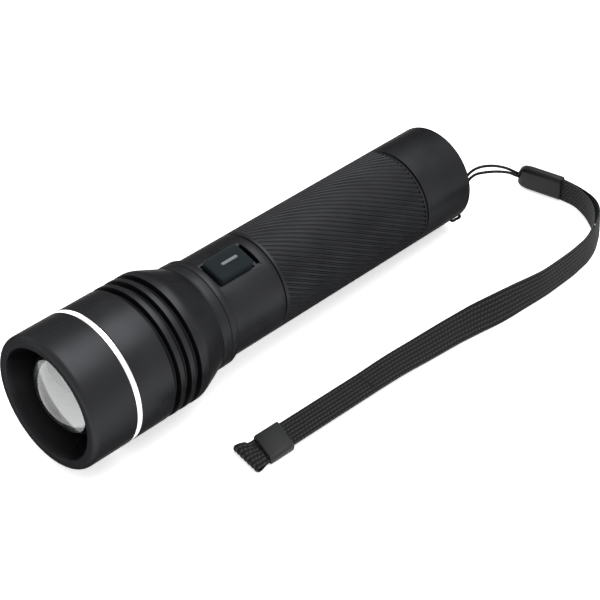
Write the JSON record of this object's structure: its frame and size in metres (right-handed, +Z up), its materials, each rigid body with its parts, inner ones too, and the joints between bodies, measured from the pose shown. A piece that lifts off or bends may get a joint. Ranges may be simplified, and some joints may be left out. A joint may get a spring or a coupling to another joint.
{
  "type": "tactical flashlight",
  "caption": "Cylindrical flashlight with a wider zooming head, domed lens, bright trim ring, side push button, grooved grip, screwed tailcap and a wrist lanyard with a sliding sleeve.",
  "frame": {"origin": "on the floor under the middle of the torch, without its lanyard", "axes": "+X from the lens to the tailcap (the torch's axis slopes down 2.35 degrees towards +X, as it rests on its head and tail), +Z up, -Y to the lanyard's side"},
  "size_m": [0.1852, 0.0701, 0.0405],
  "materials": {
    "body_anodised": "satin black anodised aluminium",
    "bright_ring": "polished",
    "plain_aluminium": "turned",
    "lens": "clear, polished",
    "seal_rubber": "matt",
    "dark_plastic": "matt",
    "pill_brass": "turned",
    "contact_brass": "gold plated",
    "board_white": "white solder mask",
    "board_green": "green solder mask",
    "led_yellow": "phosphor under clear silicone",
    "button_rubber": "satin",
    "stripe_grey": "satin",
    "cell_wrap": "plain wrapper",
    "cord_black": "braided",
    "connector_plastic": "moulded, satin",
    "strap_webbing": "ribbed webbing",
    "slider_plastic": "moulded, satin"
  },
  "bodies": {
    "tail": {"tailcap": "body_anodised", "tail_contact_board": "board_green", "tail_spring": "contact_brass", "lanyard_cord": "cord_black", "cord_connector": "connector_plastic", "wrist_strap": "strap_webbing"},
    "battery": {"battery_carrier": "dark_plastic", "aaa_cells": "cell_wrap", "cell_contacts": "contact_brass", "carrier_end_contacts": "contact_brass"},
    "barrel": {"switch_housing": "body_anodised", "zoom_stop_ring": "plain_aluminium", "zoom_o_ring": "seal_rubber", "led_pill": "pill_brass", "led_board": "board_white", "led_emitter": "led_yellow", "driver_board": "board_green", "switch_cradle": "dark_plastic", "switch_board": "board_green", "tactile_switch": "dark_plastic", "front_contact_board": "board_green", "front_contact_spring": "contact_brass", "grip_tube": "body_anodised", "body_o_ring": "seal_rubber"},
    "head": {"bezel": "body_anodised", "front_lens": "lens", "lens_gasket": "seal_rubber", "lens_retaining_ring": "dark_plastic", "trim_ring": "bright_ring", "head_sleeve": "body_anodised"},
    "button": {"button_cap": "button_rubber", "button_stripe": "stripe_grey", "switch_plunger": "dark_plastic"},
    "slider": {"strap_slider": "slider_plastic"}
  },
  "joints": [
    {"name": "thread_travel", "type": "slide", "parent": "tail", "child": "battery", "axis": [-0.9992, 0, 0.0408], "range_m": [0, 0.0081], "deforming": ["tail_spring"]},
    {"name": "tailcap_unscrew", "type": "hinge", "parent": "battery", "child": "barrel", "pos_m": [0.03537, 0, 0.01659], "axis": [-0.9992, 0, 0.0408], "range_deg": [0, 1920]},
    {"name": "zoom", "type": "slide", "parent": "barrel", "child": "head", "axis": [-0.9992, 0, 0.0408], "range_m": [0, 0.008]},
    {"name": "button_press", "type": "slide", "parent": "barrel", "child": "button", "axis": [-0.0398, 0.225, -0.9736], "range_m": [0, 0.0006], "stiffness_N_per_m": 2000},
    {"name": "strap_slide", "type": "slide", "parent": "tail", "child": "slider", "axis": [0.9985, -0.0553, 0], "range_m": [0, 0.029]}
  ],
  "couplings": [
    {"joint": "thread_travel", "follows": "tailcap_unscrew", "m_per_rad": 0.00023873}
  ]
}
